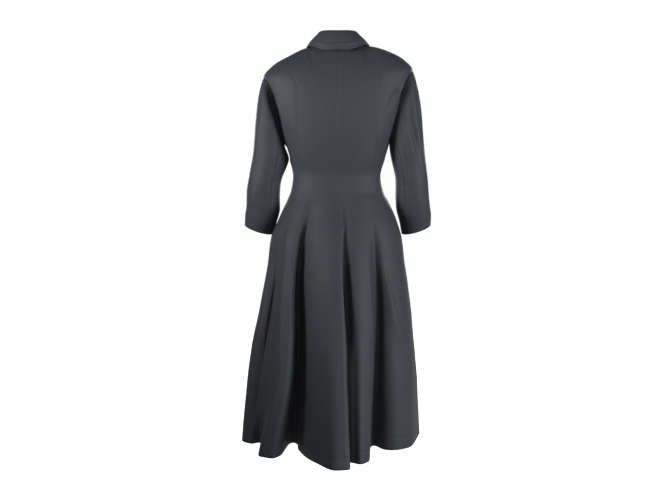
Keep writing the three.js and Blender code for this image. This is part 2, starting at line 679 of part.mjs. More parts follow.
// A cloth-covered button with a flat back and a domed face.
function buttonShape() {
  const dome = new THREE.QuadraticBezierCurve(
    new THREE.Vector2(buttonRadius, buttonHeight * 0.35),
    new THREE.Vector2(buttonRadius * 0.85, buttonHeight),
    new THREE.Vector2(0, buttonHeight),
  );
  const profile = [new THREE.Vector2(0, 0), new THREE.Vector2(buttonRadius * 0.9, 0), ...dome.getPoints(4)];
  return new THREE.LatheGeometry(profile, 18);
}

// The front's middle line as the panel's rows have it, straight from one row to the next.
function frontLine(level) {
  const levels = [...neckLevels, ...upperLevels.slice(1), ...lowerLevels.slice(1)];
  const next = levels.findIndex((edge) => edge > level);
  const above = levels[next - 1];
  const t = (level - above) / (levels[next] - above);
  return bodyPoint(180, above).lerp(bodyPoint(180, levels[next]), t);
}

function buttons() {
  const row = new THREE.Group();
  buttonLevels.forEach((level, i) => {
    const button = piece(`button_${i + 1}`, buttonShape(), buttonCloth);
    const out = bodyNormal(180, level);
    const centre = frontLine(level);
    const perDegree = bodyPoint(180.5, level).distanceTo(bodyPoint(179.5, level));
    const lifts = range(8).flatMap((t) => {
      const off = mix(-buttonRadius, buttonRadius, t);
      const aside = bodyPoint(180 + off / perDegree, level - Math.abs(off) / 2);
      return [frontLine(level + off), aside].map((point) => point.sub(centre).dot(out));
    });
    button.position.copy(centre).addScaledVector(out, seamGap + Math.max(...lifts));
    button.quaternion.setFromUnitVectors(new THREE.Vector3(0, 1, 0), out);
    row.add(button);
  });
  return row;
}

const coatDress = new THREE.Group();
coatDress.add(bodyPanels(), sleeves(), collar(), buttons());

export default coatDress;
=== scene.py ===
# Princess-line coat dress, seen from behind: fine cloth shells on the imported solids, faille and lights.
# Sizes are in millimetres in the tables and in metres in the meshes.
import math

import bmesh
import bpy
import numpy as np
from mathutils import Matrix, Vector


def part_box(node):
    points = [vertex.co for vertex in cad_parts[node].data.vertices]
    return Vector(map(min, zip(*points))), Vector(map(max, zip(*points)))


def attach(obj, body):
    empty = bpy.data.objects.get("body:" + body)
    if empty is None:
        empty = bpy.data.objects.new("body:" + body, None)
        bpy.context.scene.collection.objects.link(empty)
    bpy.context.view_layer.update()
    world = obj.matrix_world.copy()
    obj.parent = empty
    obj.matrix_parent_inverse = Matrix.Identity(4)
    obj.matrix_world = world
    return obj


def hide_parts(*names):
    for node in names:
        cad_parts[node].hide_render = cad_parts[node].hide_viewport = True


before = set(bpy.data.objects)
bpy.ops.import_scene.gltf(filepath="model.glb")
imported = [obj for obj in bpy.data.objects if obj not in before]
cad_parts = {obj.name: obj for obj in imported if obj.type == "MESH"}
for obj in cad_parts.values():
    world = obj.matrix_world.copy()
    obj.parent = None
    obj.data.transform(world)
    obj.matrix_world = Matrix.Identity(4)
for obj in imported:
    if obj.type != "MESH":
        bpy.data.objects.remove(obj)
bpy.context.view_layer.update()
scene = bpy.context.scene
print("solids loaded")

# camera at the photo's angle, behind the dress
cameraSettings = {"place": (0.006, 3.0, -0.261), "tilt": 6.5, "lens": 53.73}


def addCamera(settings):
    data = bpy.data.cameras.new("photoCamera")
    data.sensor_fit = "HORIZONTAL"
    data.sensor_width = 36
    data.lens = settings["lens"]
    camera = bpy.data.objects.new("photoCamera", data)
    camera.location = settings["place"]
    camera.rotation_euler = (math.radians(90 - settings["tilt"]), 0, math.radians(180))
    scene.collection.objects.link(camera)
    scene.camera = camera


addCamera(cameraSettings)

# the dress's driving sizes
dress = {
    "thickness": 1.2,
    "neckLevel": 18,
    "princessTop": 78,
    "shoulderTip": 140,
    "underarm": 285,
    "hemLevel": 1194,
    "frontLap": 20,
    "lapEase": 18,
    "lapDrop": 2.7,
    "armholeHalfTurn": 16,
    "capSpring": 0.85,
    "sleeveStep": 205.0,
}
buttonLevels = [68, 165, 262, 345, 435, 525]

# rings of the body: level, height at the side, height at the front, half width, back, front,
# power of the oval, shift to the left arm, lean
bodyRings = [
    (18, 3, -84, 66, 62, 68, 2, -3, 0.02),
    (43, -1, -104, 95, 78, 84, 2, -3, 0.03),
    (82, -22, -130, 151, 96, 104, 2.1, -3, 0.05),
    (112, -46, -150, 194, 105, 116, 2.1, -3, 0.05),
    (140, -80, -172, 221, 111, 127, 2.15, -3, 0.05),
    (195, -165, -212, 200, 115, 143, 2.2, 0, 0.03),
    (240, -228, -245, 178, 113, 147, 2.25, 0, 0.02),
    (285, -285, -285, 156, 105, 137, 2.3, 0, 0.01),
    (330, -330, -330, 143, 95, 123, 2.3, 0, 0),
    (380, -380, -380, 131, 84, 106, 2.3, 1, 0),
    (420, -420, -420, 137, 89, 108, 2.25, 0, 0),
    (460, -460, -460, 155, 104, 116, 2.2, -2, 0),
    (510, -510, -510, 177, 124, 130, 2.15, -1, 0),
    (565, -565, -565, 197, 141, 144, 2.1, 2, 0),
    (640, -640, -640, 207, 156, 157, 2, 2, 0),
    (790, -790, -790, 232, 182, 180, 2, 6, 0),
    (900, -900, -900, 249, 200, 197, 2, 12, 0),
    (1020, -1020, -1020, 262, 216, 212, 2, 15, 0),
    (1194, -1194, -1194, 275, 240, 235, 2, 19, 0),
]

# the folded hem, round from the centre back: place in the cloth, x, y, level where the fold starts, growth
hemPlaces = [
    (4, 17, 277, 430, 1.2), (12, 49, 234, 430, 1.2), (24, 91, 165, 430, 1.1), (31, 117, 88, 440, 1),
    (34.5, 121, 45, 445, 0.95), (37, 134, 27, 450, 0.95), (39.5, 147, 48, 445, 0.95),
    (42, 156, 98, 435, 1), (45, 165, 146, 430, 1.1), (48, 184, 175, 420, 1.2), (53, 210, 168, 420, 1.2),
    (59, 231, 148, 430, 1.2), (74, 235, 28, 520, 1.1), (80, 262, 36, 560, 1.2), (90, 294, 0, 560, 1.2),
    (100, 280, -70, 560, 1.2), (113, 234, -126, 520, 1), (126, 226, -194, 480, 1.2),
    (134, 192, -214, 480, 1.2), (143, 146, -168, 500, 1), (153, 108, -222, 520, 1.2),
    (163, 72, -246, 560, 1.2), (180, 0, -232, 600, 1.2), (197, -74, -245, 560, 1.2),
    (207, -112, -212, 520, 1.2), (217, -144, -162, 500, 1), (226, -188, -208, 480, 1.2),
    (235, -218, -192, 480, 1.2), (247, -230, -132, 520, 1), (262, -262, -100, 560, 1.2),
    (277, -249, -22, 560, 1.2), (290, -224, 62, 540, 1.2), (298, -192, 91, 540, 1.2),
    (304, -165, 100, 540, 1.2), (310, -138, 90, 530, 1.1), (315.5, -113, 56, 510, 1),
    (319, -101, 78, 510, 1.1), (323, -95, 184, 500, 1.2), (328, -87, 210, 500, 1.2),
    (336, -67, 229, 480, 1.2), (343, -46, 218, 440, 1), (347.5, -24, 212, 425, 0.8),
    (350, -38, 264, 430, 1.2), (356, -14, 281, 430, 1.2),
]

# lean of the folds off their place at the hem, in degrees: place, at level 650, at level 930
foldDrifts = [
    (-180, 0, 0), (-40, 0, 0), (-22, 1, 0), (-11, 5, 1), (4, 3, 0), (20, 3, 0), (31, 5, 0),
    (37, 6, -1), (41, 3.5, -4), (45, 1.5, -6), (53, -3, -10), (62, -6, -13), (74, -4, -9),
    (90, 0, 0), (180, 0, 0),
]
driftLevels = [(430, 0, 0), (650, 1, 0), (930, 0, 1), (1194, 0, 0)]

# sleeve sections: drop, left centre, right centre, half, depth, y, slant, pitch
sleeveSections = [
    (330, 202, 213, 51, 60, 5, 3, 0),
    (383, 214, 222, 48.5, 57, 6, 5, 4),
    (434, 221, 225, 50, 54, 1, 8, 7),
    (470, 222, 229, 51, 53, -8, 10, 9),
    (508, 230, 237, 49, 51, -22, 13, 9),
    (542, 237, 241, 46, 48, -36, 17, 8),
]

# princess seams: level, degrees from the centre back, degrees from the centre front
princessSeams = [
    (78, 90, 90), (88, 78, 78), (114, 60, 62), (155, 50, 50), (220, 51, 43), (300, 56, 47),
    (380, 60, 52), (430, 53, 50), (573, 38, 46), (1194, 37, 46),
]

# collar: turn, reach and height of its roll, turn and level of its edge, space under the edge
collarPlaces = [
    (0, 57, 42, 0, 20, 13),
    (45, 58, 43, 43, 34, 11),
    (90, 60, 34, 84, 38, 2),
    (135, 63, -2, 122, 54, 1.5),
    (176, 70, -46, 154, 88, 1.5),
]


def hermite(a, b, leave, arrive, t):
    t2 = t * t
    t3 = t2 * t
    return a * (2 * t3 - 3 * t2 + 1) + leave * (t3 - 2 * t2 + t) + b * (3 * t2 - 2 * t3) + arrive * (t3 - t2)


def smoothTable(rows):
    # smooth curve through a table's rows that never overshoots them, keyed by the first column
    rows = np.array(rows, float)
    xs, ys = rows[:, 0], rows[:, 1:]
    steps = np.diff(ys, axis=0) / np.diff(xs)[:, None]
    product = steps[:-1] * steps[1:]
    total = steps[:-1] + steps[1:]
    middle = np.where(product > 0, 2 * product / np.where(total == 0, 1, total), 0)
    slopes = np.vstack([steps[:1], middle, steps[-1:]])

    def at(x):
        x = np.asarray(x, float)
        i = np.clip(np.searchsorted(xs, x, side="right") - 1, 0, len(xs) - 2)
        width = xs[i + 1] - xs[i]
        t = np.clip((x - xs[i]) / width, 0, 1)[..., None]
        width = width[..., None]
        found = hermite(ys[i], ys[i + 1], slopes[i] * width, slopes[i + 1] * width, t)
        return np.moveaxis(found, -1, 0)

    return at


ringAt = smoothTable(bodyRings)
sectionAt = smoothTable(sleeveSections)
princessAt = smoothTable(princessSeams)
collarAt = smoothTable(collarPlaces)
driftAt = smoothTable(foldDrifts)
driftShare = smoothTable(driftLevels)


def closedHem(places):
    rows = np.array(places, float)
    before, after = rows[-2:].copy(), rows[:3].copy()
    before[:, 0] -= 360
    after[:, 0] += 360
    rows = np.vstack([before, rows, after])
    slopes = (rows[2:, 1:3] - rows[:-2, 1:3]) / (rows[2:, :1] - rows[:-2, :1])

    def at(turn):
        turn = np.mod(turn, 360)
        i = np.clip(np.searchsorted(rows[:, 0], turn, side="right") - 1, 1, len(rows) - 3)
        width = rows[i + 1, 0] - rows[i, 0]
        t = (turn - rows[i, 0]) / width
        x, y = (
            hermite(rows[i, c + 1], rows[i + 1, c + 1], slopes[i - 1, c] * width, slopes[i, c] * width, t)
            for c in (0, 1)
        )
        starts, growth = (rows[i, c] + (rows[i + 1, c] - rows[i, c]) * t for c in (3, 4))
        return x, y, starts, growth

    return at


hemAt = closedHem(hemPlaces)


def ovalReach(ring, turn):
    sideZ, frontZ, half, back, front, square, shift, lean = ring
    across = np.abs(np.sin(turn)) / half
    along = np.abs(np.cos(turn)) / np.where(np.cos(turn) > 0, back, front)
    return (across**square + along**square) ** (-1 / square)


def bodyPoint(turn, level):
    # outside of the body: turn in degrees, 0 at the centre back and 90 at the left side
    turn, level = np.broadcast_arrays(np.asarray(turn, float), np.asarray(level, float))
    ring = ringAt(level)
    high, low = driftAt(turn - 360 * np.round(turn / 360))
    shareHigh, shareLow = driftShare(level)
    angle = np.radians(turn + high * shareHigh + low * shareLow)
    reach = ovalReach(ring, angle)
    side = np.sin(angle) ** 2
    x = reach * np.sin(angle) + ring[6]
    y = reach * np.cos(angle)
    z = side * ring[0] + (1 - side) * np.where(np.cos(angle) > 0, -level, ring[1])
    z = z - ring[7] * reach * np.sin(angle)
    hemX, hemY, starts, growth = hemAt(turn)
    grown = np.clip((level - starts) / (dress["hemLevel"] - starts), 0, None) ** growth
    plainRing = ringAt(np.full(turn.shape, dress["hemLevel"], float))
    hemAngle = np.radians(turn)
    plain = ovalReach(plainRing, hemAngle)
    x = x + grown * (hemX - plain * np.sin(hemAngle) - plainRing[6])
    y = y + grown * (hemY - plain * np.cos(hemAngle))
    return np.stack([x, y, z], -1)


def unit(vectors):
    return vectors / np.maximum(np.linalg.norm(vectors, axis=-1, keepdims=True), 1e-9)


# steps over which the way out of the cloth is measured
outSteps = {"turn": 0.25, "level": 1, "round": 1, "along": 0.02}


def bodyNormal(turn, level):
    step = outSteps["turn"]
    around = bodyPoint(turn + step, level) - bodyPoint(turn - step, level)
    low = np.minimum(level + outSteps["level"], dress["hemLevel"])
    high = np.maximum(level - outSteps["level"], dress["neckLevel"])
    return unit(np.cross(around, bodyPoint(turn, low) - bodyPoint(turn, high)))


def armholePlace(aroundArm, side):
    middle = (dress["shoulderTip"] + dress["underarm"]) / 2
    halfDrop = (dress["underarm"] - dress["shoulderTip"]) / 2
    turn = side * (90 - dress["armholeHalfTurn"] * np.sin(np.radians(aroundArm)))
    return turn, middle - halfDrop * np.cos(np.radians(aroundArm))


def sectionPoint(aroundArm, drop, side):
    left, right, half, depth, y, slant, pitch = sectionAt(drop)
    out = half * np.cos(np.radians(aroundArm))
    back = depth * np.sin(np.radians(aroundArm))
    slant, pitch = np.radians(slant), np.radians(pitch)
    centre = left if side > 0 else right
    x = side * (centre + out * np.cos(slant))
    z = -drop + out * np.sin(slant) - back * np.sin(pitch)
    return np.stack([x, y + back * np.cos(pitch), z], -1)


# way in which a sleeve leaves the armhole, and the step that gives its way at the upper arm
capLeave = {"side": 0.2, "back": 0.25, "down": -0.9, "armStep": 5.0}


def sleevePoint(aroundArm, along, side):
    # outside of a sleeve: along is 0 at the armhole, 1 at the upper arm and 2 at the cuff
    aroundArm, along = np.broadcast_arrays(np.asarray(aroundArm, float), np.asarray(along, float))
    first, cuff = sleeveSections[0][0], sleeveSections[-1][0]
    arm = sectionPoint(aroundArm, first + (cuff - first) * np.clip(along - 1, 0, 1), side)
    start = bodyPoint(*armholePlace(aroundArm, side))
    end = sectionPoint(aroundArm, np.full(aroundArm.shape, float(first)), side)
    length = np.linalg.norm(end - start, axis=-1, keepdims=True) * dress["capSpring"]
    angle = np.radians(aroundArm)
    aside = side * (capLeave["side"] + capLeave["side"] * np.cos(angle))
    down = np.full(aroundArm.shape, capLeave["down"])
    leave = unit(np.stack([aside, capLeave["back"] * np.sin(angle), down], -1))
    lower = np.full(aroundArm.shape, first + capLeave["armStep"])
    arrive = unit(sectionPoint(aroundArm, lower, side) - end)
    cap = hermite(start, end, leave * length, arrive * length, np.clip(along, 0, 1)[..., None])
    return np.where((along > 1)[..., None], arm, cap)


def sleeveNormal(aroundArm, along, side):
    step = outSteps["round"]
    around = sleevePoint(aroundArm + step, along, side) - sleevePoint(aroundArm - step, along, side)
    below = np.minimum(along + outSteps["along"], 2)
    above = np.maximum(along - outSteps["along"], 0)
    down = sleevePoint(aroundArm, below, side) - sleevePoint(aroundArm, above, side)
    return unit(np.cross(around, down)) * -side


def smoothStep(x, low, high):
    t = np.clip((x - low) / (high - low), 0, 1)
    return t * t * (3 - 2 * t)


def creaseHeight(first, second, creases, pointAt, stretch=1.0, period=360):
    # sum of soft ridges and troughs at each place of the cloth, in millimetres. A crease is its rise,
    # its width before and after its line, the shares of its length in which it fades in and out, and
    # the places of its line. stretch is how many millimetres one step of the second place is.
    height = np.zeros(first.shape)
    for rise, before, after, fadeIn, fadeOut, *line in creases:
        knots = np.array(line, float)
        t = np.linspace(0, len(knots) - 1, 5 * (len(knots) - 1) + 1)
        i = np.minimum(t.astype(int), len(knots) - 2)
        padded = np.vstack([2 * knots[:1] - knots[1:2], knots, 2 * knots[-1:] - knots[-2:-1]])
        slope = (padded[2:] - padded[:-2]) / 2
        path = hermite(knots[i], knots[i + 1], slope[i], slope[i + 1], (t - i)[:, None])
        ahead = pointAt(path[:, 0] + 0.5, path[:, 1])
        scale = np.linalg.norm(ahead - pointAt(path[:, 0] - 0.5, path[:, 1]), axis=-1)
        run = np.linalg.norm(np.diff(pointAt(path[:, 0], path[:, 1]), axis=0), axis=-1)
        done = np.concatenate([[0], np.cumsum(run)]) / run.sum()
        nearest = np.full(first.shape, 1e9)
        share = np.zeros(first.shape)
        aside = np.zeros(first.shape)
        for k in range(len(path) - 1):
            across = (scale[k] + scale[k + 1]) / 2
            dx = (np.mod(first - path[k, 0] + period / 2, period) - period / 2) * across
            dy = (second - path[k, 1]) * stretch
            ax = (path[k + 1, 0] - path[k, 0]) * across
            ay = (path[k + 1, 1] - path[k, 1]) * stretch
            s = np.clip((dx * ax + dy * ay) / max(ax * ax + ay * ay, 1e-9), 0, 1)
            distance = np.hypot(dx - s * ax, dy - s * ay)
            closer = distance < nearest
            nearest = np.where(closer, distance, nearest)
            share = np.where(closer, done[k] + s * (done[k + 1] - done[k]), share)
            aside = np.where(closer, dx * ay - dy * ax, aside)
        width = np.where(aside > 0, before, after)
        starts = smoothStep(share, -1e-6, max(fadeIn, 1e-6))
        ends = smoothStep(1 - share, -1e-6, max(fadeOut, 1e-6))
        height += rise * (starts * ends) * np.exp(-((nearest / width) ** 2))
    return height


# slow waver of the cloth: the size of its waves and its rise
waver = {"size": 60, "rise": 0.7}


def unevenness(points):
    # three waves at odd angles, the same on both sides of a seam
    x, y, z = np.moveaxis(points / waver["size"], -1, 0)
    waves = np.sin(2.1 * x + 1.3 * z + 0.4) + np.sin(1.7 * z - 2.3 * y + 2.1)
    waves = waves + np.sin(3.1 * z + 1.9 * x + 1.2 * y)
    return waver["rise"] * waves / 3


# soft creases of the body: rise, width before, width after, fade in, fade out, then (turn, level) places
bodyCreases = [
    # deep folds of the skirt's back, sharp on one side
    (-24, 7, 14, 0.62, 0.55, (-12, 520), (-13, 620), (-14, 720), (-14, 830), (-14, 940)),
    (-11, 9, 8, 0.5, 0.4, (36, 540), (38, 660), (38, 800), (38, 960), (38, 1120)),
    (-7, 6, 13, 0.5, 0.4, (-44, 560), (-45, 700), (-45.5, 850), (-45.5, 1000), (-45, 1120)),
    (-24, 16, 20, 0.3, 0.15, (79, 540), (79, 660), (78, 800), (79.5, 920), (80, 1020), (79, 1170)),
    # small ridges beside them
    (4.5, 9, 4, 0.3, 0.5, (-36, 640), (-37, 760), (-38, 900), (-38, 1040), (-37, 1150)),
    (5.5, 22, 3.5, 0.25, 0.3, (-50, 590), (-53, 660), (-58, 740), (-63, 820),
     (-72, 910), (-74, 1010), (-73, 1110)),
    (4.5, 5, 9, 0.3, 0.2, (66, 470), (62, 560), (61, 680), (61, 820), (61, 980), (61, 1120)),
    (3, 4, 7, 0.3, 0.3, (46, 740), (46.5, 880), (47, 1020), (47, 1140)),
    # hollows below the waist where the folds begin
    (-2.5, 16, 12, 0.4, 0.6, (-5, 420), (-8, 470), (-11, 540)),
    (-3, 4, 9, 0.35, 0.5, (-6, 420), (-8, 470), (-11, 540), (-13, 640)),
    (-2.5, 14, 18, 0.4, 0.6, (42, 430), (38, 490), (35, 560)),
    (-2.5, 9, 5, 0.35, 0.5, (45, 460), (41, 510), (37, 580), (36, 660)),
    (-2, 16, 14, 0.4, 0.6, (-46, 440), (-44, 500), (-44, 580)),
    # drag lines from the collar to the shoulder blades
    (-5.5, 5, 9, 0.1, 0.7, (60, 48), (46, 68), (36, 94)),
    (-5, 9, 5, 0.1, 0.7, (-60, 50), (-48, 72), (-38, 96)),
    # creases from the back of the sleeve seam
    (-4, 6, 8, 0.1, 0.7, (-70, 172), (-64, 186), (-60, 215)),
    (3, 7, 7, 0.3, 0.5, (-78, 160), (-70, 182), (-68, 214)),
    (2, 8, 10, 0.3, 0.5, (74, 178), (68, 205), (64, 245)),
    (-1.8, 10, 12, 0.3, 0.6, (70, 236), (62, 262), (50, 284)),
    (-1.5, 12, 10, 0.3, 0.6, (-76, 262), (-66, 290), (-54, 306)),
    # slight drag across the waist
    (-0.8, 14, 18, 0.4, 0.5, (84, 352), (60, 366), (40, 372)),
    (-0.8, 18, 14, 0.4, 0.5, (-80, 366), (-58, 378), (-36, 380)),
    (-0.4, 18, 18, 0.5, 0.5, (30, 392), (8, 398), (-16, 396)),
    # the side gives way to the left sleeve, at the underarm and at the cuff
    (-6, 24, 24, 0.05, 0.3, (90, 290), (90, 305), (90, 320), (90, 336)),
    (-3.5, 18, 20, 0.35, 0.35, (98, 490), (100, 520), (101, 550), (100, 585), (99, 615)),
    # the front's own soft folds
    (-5, 12, 18, 0.35, 0.5, (150, 560), (147, 700), (144, 860), (143, 1040)),
    (-5, 18, 12, 0.35, 0.5, (-150, 570), (-146, 720), (-143, 880), (-143, 1050)),
    (-2.5, 10, 12, 0.35, 0.6, (128, 300), (136, 330), (146, 350)),
    (-2.2, 12, 10, 0.35, 0.6, (-126, 306), (-137, 334), (-148, 352)),
    (2.4, 16, 16, 0.4, 0.5, (122, 200), (128, 250), (134, 300)),
    (2.2, 16, 16, 0.4, 0.5, (-120, 205), (-127, 250), (-133, 298)),
    (-1.6, 8, 8, 0.4, 0.5, (110, 352), (132, 366), (152, 370)),
    (-1.4, 8, 8, 0.4, 0.5, (-108, 358), (-130, 372), (-154, 374)),
    (-1.8, 9, 11, 0.3, 0.7, (104, 190), (116, 214), (128, 226)),
    (-1.8, 11, 9, 0.3, 0.7, (-105, 196), (-117, 218), (-130, 230)),
]
# soft creases of the sleeves: the same with (degrees round the arm, along) places
leftSleeveCreases = [
    (3.2, 14, 18, 0.3, 0.5, (48, 0.25), (40, 0.7), (34, 1.3)),
    (-4.5, 11, 16, 0.3, 0.6, (112, 0.12), (92, 0.42), (74, 0.8)),
    (-2.5, 10, 14, 0.3, 0.6, (-64, 0.15), (-78, 0.5), (-86, 0.9)),
    (8, 24, 24, 0.4, 0.6, (178, 0), (178, 0.3), (178, 0.6), (178, 0.9), (178, 1.15), (178, 1.35)),
    (-3.0, 9, 12, 0.4, 0.5, (-150, 1.28), (-112, 1.2), (-72, 1.24)),
    (-2.4, 8, 10, 0.4, 0.5, (-140, 1.46), (-104, 1.42), (-70, 1.34)),
    (-2.2, 9, 12, 0.4, 0.5, (150, 1.2), (122, 1.32), (92, 1.36)),
    (-2.0, 9, 11, 0.4, 0.5, (40, 1.62), (70, 1.7), (104, 1.68)),
    (1.8, 16, 20, 0.4, 0.4, (62, 1.2), (58, 1.5), (56, 1.9)),
]
rightSleeveCreases = [
    (-5.5, 8, 13, 0.2, 0.6, (54, 0.14), (60, 0.45), (58, 0.95), (52, 1.35)),
    (4.2, 8, 14, 0.3, 0.5, (80, 0.16), (82, 0.6), (76, 1.1)),
    (-4.5, 7, 12, 0.3, 0.6, (24, 0.14), (33, 0.5), (35, 1.0)),
    (3.5, 10, 12, 0.3, 0.6, (42, 0.12), (45, 0.5), (43, 1.0), (38, 1.5)),
    (-3.2, 12, 16, 0.3, 0.6, (104, 0.5), (96, 0.9), (92, 1.3)),
    (-2.5, 10, 14, 0.3, 0.6, (-66, 0.15), (-80, 0.5), (-88, 0.9)),
    (-3.0, 9, 12, 0.4, 0.5, (-146, 1.32), (-110, 1.24), (-74, 1.28)),
    (-2.4, 8, 10, 0.4, 0.5, (-136, 1.5), (-100, 1.44), (-66, 1.38)),
    (-2.0, 9, 12, 0.4, 0.5, (146, 1.24), (120, 1.34), (90, 1.4)),
    (2.0, 14, 18, 0.4, 0.4, (70, 1.3), (66, 1.6), (62, 1.92)),
]

# depth of the sleeve seam in its fold: degrees round the armhole, left, right, with the shoulder tip
# at 0 and the back at 90
armholeSinks = [
    (-180, 0, 0), (-130, 5, 5), (-90, 9, 8), (-45, 4, 4), (0, 0, 0), (20, 9, 4), (40, 26, 13),
    (58, 32, 14), (74, 31, 6), (94, 27, 3), (115, 19, 3), (140, 12, 4), (160, 7, 3), (180, 0, 0),
]
armholeSinkAt = smoothTable(armholeSinks)
# how far from the seam the cloth is drawn in, shares its way out and has calmer creases
armholeReach = {"body": 5, "sleeve": 9, "turn": 5, "calm": 14, "sleeveCalm": 0.12}


def armholeOut(aroundArm, side):
    # way out of the cloth that the body and the sleeve share at their seam
    bodyOut = bodyNormal(*armholePlace(aroundArm, side))
    return unit(bodyOut + sleeveNormal(aroundArm, np.zeros(aroundArm.shape), side))


def nearArmhole(points, side):
    # distance of each place from the sleeve seam, and where on the seam it is nearest
    aroundArm = np.linspace(-180, 180, 721)
    seam = bodyPoint(*armholePlace(aroundArm, side))
    distance, nearest = np.empty(points.shape[:2]), np.empty(points.shape[:2])
    for row, line in enumerate(points):
        apart = np.linalg.norm(line[:, None] - seam[None], axis=-1)
        distance[row], nearest[row] = apart.min(axis=1), aroundArm[apart.argmin(axis=1)]
    return distance, nearest


def sinkArmhole(points, out, fromArm, aroundArm, side, reach):
    # draws the cloth in towards the sleeve seam, and turns its way out to the shared one there
    near = np.exp(-((fromArm / armholeReach["turn"]) ** 2))[..., None]
    out = unit(out * (1 - near) + armholeOut(aroundArm, side) * near)
    left, right = armholeSinkAt(aroundArm - 360 * np.round(aroundArm / 360))
    depth = (left if side > 0 else right) * np.exp(-fromArm / reach)
    return points - out * depth[..., None], out


def levelsBetween(stops, step):
    # levels from the first stop to the last, with one on every stop
    levels = [stops[0]]
    for low, high in zip(stops, stops[1:]):
        count = max(1, math.ceil((high - low) / step))
        levels += [low + (high - low) * (k + 1) / count for k in range(count)]
    return np.array(levels, float)


# a sewn edge is rolled in, less so below the bodice
seamRoll = {"depth": 0.42, "width": 1.5, "fade": 0.85, "fadeFrom": 120, "fadeTo": 380}
# distance that stands for no edge near
farAway = 500.0


def rollEdges(points, out, edges):
    # rolls the sewn edges in a little, like a pressed seam
    around = np.linalg.norm(np.diff(points, axis=1), axis=-1)
    fromFirst = np.concatenate([np.zeros((len(points), 1)), np.cumsum(around, axis=1)], axis=1)
    fromLast = fromFirst[:, -1:] - fromFirst
    down = np.linalg.norm(np.diff(points, axis=0), axis=-1)
    fromTop = np.concatenate([np.zeros((1, points.shape[1])), np.cumsum(down, axis=0)], axis=0)
    fromHem = fromTop[-1:] - fromTop
    fromSeam = np.full(fromFirst.shape, farAway)
    for name, distance in (("first", fromFirst), ("last", fromLast), ("top", fromTop)):
        if name in edges:
            fromSeam = np.minimum(fromSeam, distance)
    sink = seamRoll["depth"] * np.exp(-((fromSeam / seamRoll["width"]) ** 2))
    faded = smoothStep(fromTop, seamRoll["fadeFrom"], seamRoll["fadeTo"])
    sink = sink * (1 - seamRoll["fade"] * faded)
    return points - out * sink[..., None], fromSeam, fromHem


def clothSheet(node, points, fromSeam, fromHem, levelThreads=False):
    # one cut piece of cloth: a grid laid out flat, brought to its place and given its thickness
    rows, columns = points.shape[:2]
    bm = bmesh.new()
    bmesh.ops.create_grid(bm, x_segments=columns - 1, y_segments=rows - 1, size=0.5)
    mesh = bpy.data.meshes.new("cloth_" + node)
    bm.to_mesh(mesh)
    bm.free()
    laid = np.empty(len(mesh.vertices) * 3, np.float32)
    mesh.vertices.foreach_get("co", laid)
    laid = laid.reshape(-1, 3) + 0.5
    column = np.rint(laid[:, 0] * (columns - 1)).astype(int)
    row = np.rint(laid[:, 1] * (rows - 1)).astype(int)
    mesh.vertices.foreach_set("co", (points[row, column] / 1000).astype(np.float32).ravel())
    middle = columns // 2
    across = np.linalg.norm(np.diff(points, axis=1), axis=-1)
    u = np.concatenate([np.zeros((rows, 1)), np.cumsum(across, axis=1)], axis=1)
    u = u - u[:, middle : middle + 1]
    down = np.linalg.norm(np.diff(points[:, middle], axis=0), axis=-1)
    v = np.concatenate([[0], np.cumsum(down)])[:, None] + np.zeros(columns)
    if levelThreads:
        v = -points[..., 2]
    corner = np.empty(len(mesh.loops), np.int32)
    mesh.loops.foreach_get("vertex_index", corner)
    layer = mesh.uv_layers.new(name="clothUv")
    uvs = np.stack([u[row, column], v[row, column]], -1)[corner] / 1000
    layer.data.foreach_set("uv", uvs.astype(np.float32).ravel())
    for name, values in (("fromSeam", fromSeam), ("fromHem", fromHem)):
        attribute = mesh.attributes.new(name, "FLOAT", "POINT")
        attribute.data.foreach_set("value", (values[row, column] / 1000).astype(np.float32))
    mesh.shade_smooth()
    mesh.update()
    mesh.materials.append(faille)
    piece = bpy.data.objects.new("cloth_" + node, mesh)
    scene.collection.objects.link(piece)
    wall = piece.modifiers.new("thickness", "SOLIDIFY")
    wall.thickness = dress["thickness"] / 1000
    wall.offset = -1
    wall.use_quality_normals = True
    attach(piece, "root")
    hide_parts(node)
    cells = np.cross(points[1:, :-1] - points[:-1, :-1], points[:-1, 1:] - points[:-1, :-1])
    shown = np.linalg.norm(cells, axis=-1).sum() / 1e6
    widest = round(across.sum(axis=1).max())
    print(node, "widest", widest, "long", round(down.sum()), "shows", round(float(shown), 4))


# the two cloths
clothLook = {
    "charcoal": (0.0235, 0.0275, 0.0345, 1),
    "warm": (0.032, 0.029, 0.0265, 1),
    "ribSpacing": 0.0013,
    "ribDepth": 0.55,
    "roughness": 0.62,
    "sheen": 0.03,
}
buttonLook = {
    "charcoal": (0.0235, 0.0275, 0.0345, 1),
    "warm": (0.030, 0.028, 0.0265, 1),
    "ribSpacing": 0.0013,
    "ribDepth": 0.4,
    "roughness": 0.55,
    "sheen": 0.03,
}


# the weave, on coordinates in metres along the cloth. Each noise has its scale, detail and roughness,
# and the least and most by which it lightens the cloth.
weaveLook = {
    "slub": {"scale": (26, 520, 1), "detail": 3, "roughness": 0.6, "light": (0.89, 1.11)},
    "broad": {"scale": (9, 150, 1), "detail": 2, "roughness": 0.5, "light": (0.97, 1.03)},
    "noiseRange": (0.3, 0.7),
    "patch": {"Scale": 7, "Detail": 2, "Roughness": 0.45, "Distortion": 0.4},
    "patchRange": (0.46, 0.72),
    "patchShare": (0, 0.4),
    "ribWander": 0.0006,
    # painted shade in the rib grooves and painted highlight on the rib crests
    "ribPaintedShade": (0.88, 1.08),
    "slubRoughness": 0.12,
    "bump": {"Strength": 0.4, "Distance": 0.0003},
}
# the row of stitches above the hem, in metres
hemStitches = {"fromHem": 0.036, "width": 0.003, "bump": {"Strength": 0.8, "Distance": 0.0014}}


